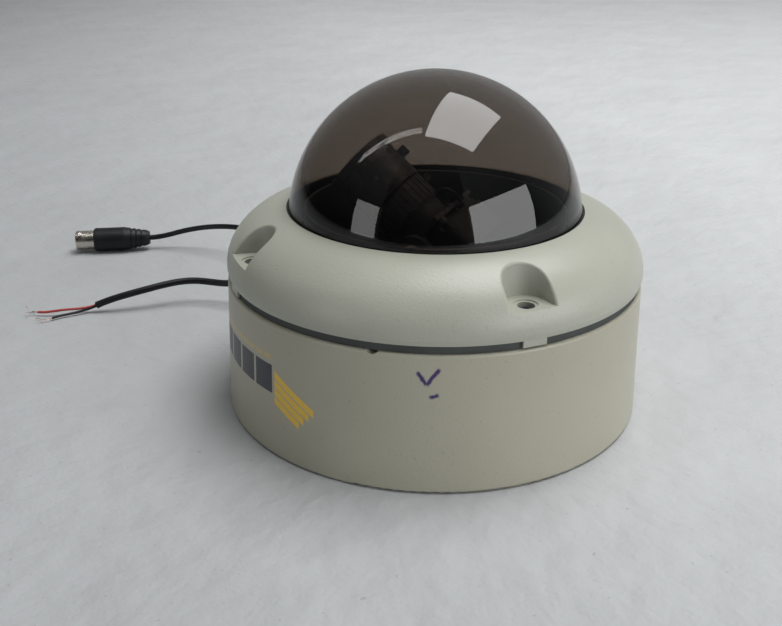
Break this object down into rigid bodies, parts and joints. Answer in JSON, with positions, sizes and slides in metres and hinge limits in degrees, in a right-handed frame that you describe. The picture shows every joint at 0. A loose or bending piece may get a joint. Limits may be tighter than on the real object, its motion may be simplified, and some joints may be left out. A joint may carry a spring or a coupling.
{
  "type": "dome surveillance camera",
  "caption": "Vandal-resistant surface-mount dome camera: smoked bubble in a cream die-cast housing over a pan and tilt varifocal lens, with coaxial and power leads.",
  "frame": {"origin": "centre of the mounting face, on the plane the base stands on", "axes": "+Z out of the mounting face through the dome, -X the way the lens looks at rest, cover screws at 45 degrees to X and Y"},
  "size_m": [0.2945, 0.1676, 0.1169],
  "materials": {
    "cream_casting": "textured satin powder coat",
    "smoked_dome": "glossy smoked polycarbonate",
    "black_rubber": "matte",
    "gasket_rubber": "matte",
    "black_plastic": "fine texture",
    "black_steel": "black finish, satin",
    "bright_steel": "zinc plated",
    "black_aluminium": "black anodised, satin",
    "lens_glass": "coated optical glass",
    "circuit_board": "black solder mask",
    "brass_spacer": "turned",
    "sensor_chip": "glossy",
    "nylon": "moulded",
    "cable_jacket": "smooth satin vinyl",
    "red_jacket": "smooth satin vinyl",
    "nickel": "nickel plated",
    "white_insulator": "moulded",
    "gold_contact": "gold plated",
    "bare_copper": "tinned and bare copper"
  },
  "bodies": {
    "housing": {"base_housing": "cream_casting", "lid_gasket": "gasket_rubber", "cable_grommet": "black_rubber", "gimbal_plate": "black_plastic", "gimbal_screws": "bright_steel", "inner_liner": "black_plastic", "harness_junction": "black_plastic", "gimbal_harness": "cable_jacket", "harness_socket": "black_plastic", "video_cable": "cable_jacket", "bnc_strain_relief": "black_rubber", "bnc_barrel": "nickel", "bnc_insulator": "white_insulator", "bnc_contact": "gold_contact", "power_cable": "cable_jacket", "red_wire": "red_jacket", "black_wire": "cable_jacket", "red_wire_strands": "bare_copper", "black_wire_strands": "bare_copper"},
    "cover": {"cover_shell": "cream_casting", "dome_bubble": "smoked_dome", "dome_seal": "black_rubber", "dome_retainer": "black_steel", "retainer_screws": "black_steel", "cover_screws": "black_steel"},
    "pan": {"pan_turntable": "black_plastic", "pan_clip": "bright_steel", "yoke": "black_steel", "yoke_screws": "bright_steel"},
    "camera": {"tilt_frame": "black_steel", "tilt_screws": "bright_steel", "tilt_washers": "nylon", "sensor_board": "circuit_board", "rear_board": "circuit_board", "board_spacers": "brass_spacer", "board_screws": "bright_steel", "image_sensor": "sensor_chip", "lens_holder": "black_plastic", "ir_filter": "lens_glass", "rear_cap": "black_plastic", "board_connector": "black_plastic", "module_lead": "cable_jacket", "module_plug": "black_plastic", "lens_barrel": "black_aluminium", "rear_glass": "lens_glass", "iris_lead": "cable_jacket", "iris_plug": "black_plastic"},
    "zoom_ring": {"zoom_ring": "black_aluminium"},
    "zoom_lock": {"zoom_lock": "black_aluminium"},
    "zoom_group": {"zoom_cell": "black_aluminium", "zoom_glass": "lens_glass"},
    "focus_group": {"focus_cell": "black_aluminium", "front_glass": "lens_glass", "glass_ring": "black_aluminium"},
    "focus_ring": {"focus_ring": "black_aluminium"},
    "focus_lock": {"focus_lock": "black_aluminium"}
  },
  "joints": [
    {"name": "cover_lift", "type": "slide", "parent": "housing", "child": "cover", "axis": [0, 0, 1], "range_m": [0, 0.12]},
    {"name": "pan_turn", "type": "hinge", "parent": "housing", "child": "pan", "pos_m": [0, 0, 0.03], "axis": [0, 0, 1], "range_deg": [-175, 175]},
    {"name": "tilt_turn", "type": "hinge", "parent": "pan", "child": "camera", "pos_m": [0, 0, 0.0584], "axis": [0, 1, 0], "range_deg": [-34, 50]},
    {"name": "zoom_turn", "type": "hinge", "parent": "camera", "child": "zoom_ring", "pos_m": [0, 0, 0.0584], "axis": [-0.7716, 0, 0.6361], "range_deg": [0, 80]},
    {"name": "zoom_lock_turn", "type": "hinge", "parent": "zoom_ring", "child": "zoom_lock", "pos_m": [-0.00634, 0.00636, 0.07681], "axis": [0.5394, 0.5299, 0.6544], "range_deg": [0, 360]},
    {"name": "zoom_travel", "type": "slide", "parent": "camera", "child": "zoom_group", "axis": [-0.7716, 0, 0.6361], "range_m": [0, 0.004]},
    {"name": "focus_travel", "type": "slide", "parent": "camera", "child": "focus_group", "axis": [-0.7716, 0, 0.6361], "range_m": [0, 0.0012]},
    {"name": "focus_turn", "type": "hinge", "parent": "focus_group", "child": "focus_ring", "pos_m": [0, 0, 0.0584], "axis": [-0.7716, 0, 0.6361], "range_deg": [0, 120]},
    {"name": "focus_lock_turn", "type": "hinge", "parent": "focus_ring", "child": "focus_lock", "pos_m": [-0.01594, 0.00662, 0.08528], "axis": [0.5394, 0.5299, 0.6544], "range_deg": [0, 360]}
  ],
  "couplings": [
    {"joint": "focus_travel", "follows": "focus_turn", "m_per_rad": 0.00057239},
    {"joint": "zoom_travel", "follows": "zoom_turn", "m_per_rad": 0.0028619}
  ]
}
